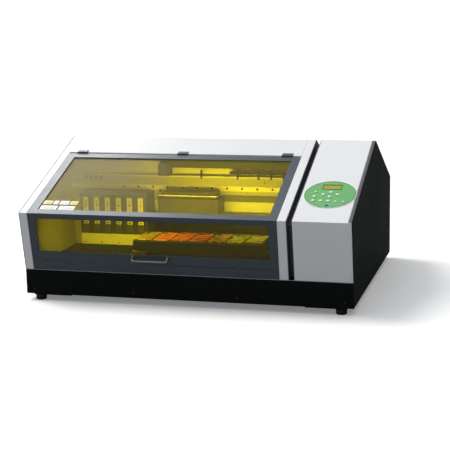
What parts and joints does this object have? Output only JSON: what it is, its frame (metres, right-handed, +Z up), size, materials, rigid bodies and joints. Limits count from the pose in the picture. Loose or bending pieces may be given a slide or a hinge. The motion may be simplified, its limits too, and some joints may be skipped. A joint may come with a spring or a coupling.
{
  "type": "flatbed uv printer",
  "caption": "Wedge-shaped flatbed UV printer: amber-glazed front cover, lifting table on rails, carriage on a cross beam, ink cartridges and a control tower.",
  "frame": {"origin": "centre of the footprint, on the surface the feet stand on", "axes": "+X to the machine's right, +Y to its back, +Z up"},
  "size_m": [1.202, 0.962, 0.536],
  "materials": {
    "white_panel": "satin",
    "slate_panel": "satin",
    "black_panel": "satin",
    "rubber_foot": "matte",
    "grey_panel": "satin",
    "grey_plastic": "moulded",
    "dark_deck": "satin",
    "machined_steel": "brushed",
    "machined_aluminium": "anodised",
    "chrome_trim": "polished",
    "amber_acrylic": "gloss",
    "green_overlay": "satin",
    "display_window": "gloss",
    "black_plastic": "moulded",
    "lamp_housing": "anodised",
    "cartridge_plastic": "moulded",
    "white_button": "gloss",
    "blue_button": "gloss"
  },
  "bodies": {
    "chassis": {"base_tray": "black_panel", "foot_front_left": "rubber_foot", "foot_front_right": "rubber_foot", "foot_rear_left": "rubber_foot", "foot_rear_right": "rubber_foot", "left_side_panel": "black_panel", "right_side_panel": "black_panel", "left_cheek": "white_panel", "right_cheek": "white_panel", "top_cover": "white_panel", "rear_cover": "white_panel", "rear_panel": "white_panel", "tower_cover": "white_panel", "groove_liner": "grey_panel", "front_lower_panel": "slate_panel", "bed_deck": "dark_deck", "chamber_liner": "grey_panel", "gantry_beam": "machined_aluminium", "guide_rail": "machined_steel", "cartridge_bay": "grey_plastic", "cleaning_station": "black_plastic", "table_rail_left": "machined_steel", "table_rail_right": "machined_steel", "hinge_left": "chrome_trim", "hinge_middle": "chrome_trim", "hinge_right": "chrome_trim", "control_panel": "green_overlay", "display": "display_window", "power_inlet": "black_plastic", "exhaust_grille": "black_plastic"},
    "front_cover": {"cover_frame": "slate_panel", "upper_pane": "amber_acrylic", "lower_pane": "amber_acrylic", "handle": "chrome_trim"},
    "carriage": {"carriage_hood": "grey_panel", "print_head": "black_plastic", "uv_lamp": "lamp_housing"},
    "saddle": {"table_saddle": "grey_panel"},
    "table": {"table_plate": "machined_aluminium", "jig_tray": "black_plastic"},
    "rocker": {"power_switch": "black_plastic"},
    "cartridge_1": {"ink_cartridge_1": "cartridge_plastic"},
    "cartridge_2": {"ink_cartridge_2": "cartridge_plastic"},
    "cartridge_3": {"ink_cartridge_3": "cartridge_plastic"},
    "cartridge_4": {"ink_cartridge_4": "cartridge_plastic"},
    "cartridge_5": {"ink_cartridge_5": "cartridge_plastic"},
    "cartridge_6": {"ink_cartridge_6": "cartridge_plastic"},
    "button_speed_body": {"button_speed": "white_button"},
    "button_left_body": {"button_left": "white_button"},
    "button_up_body": {"button_up": "white_button"},
    "button_right_body": {"button_right": "white_button"},
    "button_home_body": {"button_home": "white_button"},
    "button_down_body": {"button_down": "white_button"},
    "button_table_up_body": {"button_table_up": "white_button"},
    "button_table_down_body": {"button_table_down": "white_button"},
    "button_origin_body": {"button_origin": "white_button"},
    "button_pause_body": {"button_pause": "white_button"},
    "button_cancel_body": {"button_cancel": "white_button"},
    "button_enter_body": {"button_enter": "blue_button"}
  },
  "joints": [
    {"name": "cover_lift", "type": "hinge", "parent": "chassis", "child": "front_cover", "pos_m": [0, -0.0545, 0.49038], "axis": [-1, 0, 0], "range_deg": [0, 65]},
    {"name": "carriage_slide", "type": "slide", "parent": "chassis", "child": "carriage", "axis": [1, 0, 0], "range_m": [-0.028, 0.535]},
    {"name": "table_travel", "type": "slide", "parent": "chassis", "child": "saddle", "axis": [0, 1, 0], "range_m": [-0.084, 0.256]},
    {"name": "table_lift", "type": "slide", "parent": "saddle", "child": "table", "axis": [0, 0, 1], "range_m": [0, 0.042]},
    {"name": "power_rocker", "type": "hinge", "parent": "chassis", "child": "rocker", "pos_m": [-0.4025, 0.475, 0.2], "axis": [-1, 0, 0], "range_deg": [0, 12]},
    {"name": "cartridge_1_draw", "type": "slide", "parent": "chassis", "child": "cartridge_1", "axis": [0, -1, 0], "range_m": [0, 0.095]},
    {"name": "cartridge_2_draw", "type": "slide", "parent": "chassis", "child": "cartridge_2", "axis": [0, -1, 0], "range_m": [0, 0.095]},
    {"name": "cartridge_3_draw", "type": "slide", "parent": "chassis", "child": "cartridge_3", "axis": [0, -1, 0], "range_m": [0, 0.095]},
    {"name": "cartridge_4_draw", "type": "slide", "parent": "chassis", "child": "cartridge_4", "axis": [0, -1, 0], "range_m": [0, 0.095]},
    {"name": "cartridge_5_draw", "type": "slide", "parent": "chassis", "child": "cartridge_5", "axis": [0, -1, 0], "range_m": [0, 0.095]},
    {"name": "cartridge_6_draw", "type": "slide", "parent": "chassis", "child": "cartridge_6", "axis": [0, -1, 0], "range_m": [0, 0.095]},
    {"name": "button_speed_press", "type": "slide", "parent": "chassis", "child": "button_speed_body", "axis": [0, 0.3491, -0.9371], "range_m": [0, 0.0012], "stiffness_N_per_m": 500, "springref_m": -0.0006},
    {"name": "button_left_press", "type": "slide", "parent": "chassis", "child": "button_left_body", "axis": [0, 0.3491, -0.9371], "range_m": [0, 0.0012], "stiffness_N_per_m": 500, "springref_m": -0.0006},
    {"name": "button_up_press", "type": "slide", "parent": "chassis", "child": "button_up_body", "axis": [0, 0.3491, -0.9371], "range_m": [0, 0.0012], "stiffness_N_per_m": 500, "springref_m": -0.0006},
    {"name": "button_right_press", "type": "slide", "parent": "chassis", "child": "button_right_body", "axis": [0, 0.3491, -0.9371], "range_m": [0, 0.0012], "stiffness_N_per_m": 500, "springref_m": -0.0006},
    {"name": "button_home_press", "type": "slide", "parent": "chassis", "child": "button_home_body", "axis": [0, 0.3491, -0.9371], "range_m": [0, 0.0012], "stiffness_N_per_m": 500, "springref_m": -0.0006},
    {"name": "button_down_press", "type": "slide", "parent": "chassis", "child": "button_down_body", "axis": [0, 0.3491, -0.9371], "range_m": [0, 0.0012], "stiffness_N_per_m": 500, "springref_m": -0.0006},
    {"name": "button_table_up_press", "type": "slide", "parent": "chassis", "child": "button_table_up_body", "axis": [0, 0.3491, -0.9371], "range_m": [0, 0.0012], "stiffness_N_per_m": 500, "springref_m": -0.0006},
    {"name": "button_table_down_press", "type": "slide", "parent": "chassis", "child": "button_table_down_body", "axis": [0, 0.3491, -0.9371], "range_m": [0, 0.0012], "stiffness_N_per_m": 500, "springref_m": -0.0006},
    {"name": "button_origin_press", "type": "slide", "parent": "chassis", "child": "button_origin_body", "axis": [0, 0.3491, -0.9371], "range_m": [0, 0.0012], "stiffness_N_per_m": 500, "springref_m": -0.0006},
    {"name": "button_pause_press", "type": "slide", "parent": "chassis", "child": "button_pause_body", "axis": [0, 0.3491, -0.9371], "range_m": [0, 0.0012], "stiffness_N_per_m": 500, "springref_m": -0.0006},
    {"name": "button_cancel_press", "type": "slide", "parent": "chassis", "child": "button_cancel_body", "axis": [0, 0.3491, -0.9371], "range_m": [0, 0.0012], "stiffness_N_per_m": 500, "springref_m": -0.0006},
    {"name": "button_enter_press", "type": "slide", "parent": "chassis", "child": "button_enter_body", "axis": [0, 0.3491, -0.9371], "range_m": [0, 0.0012], "stiffness_N_per_m": 500, "springref_m": -0.0006}
  ]
}
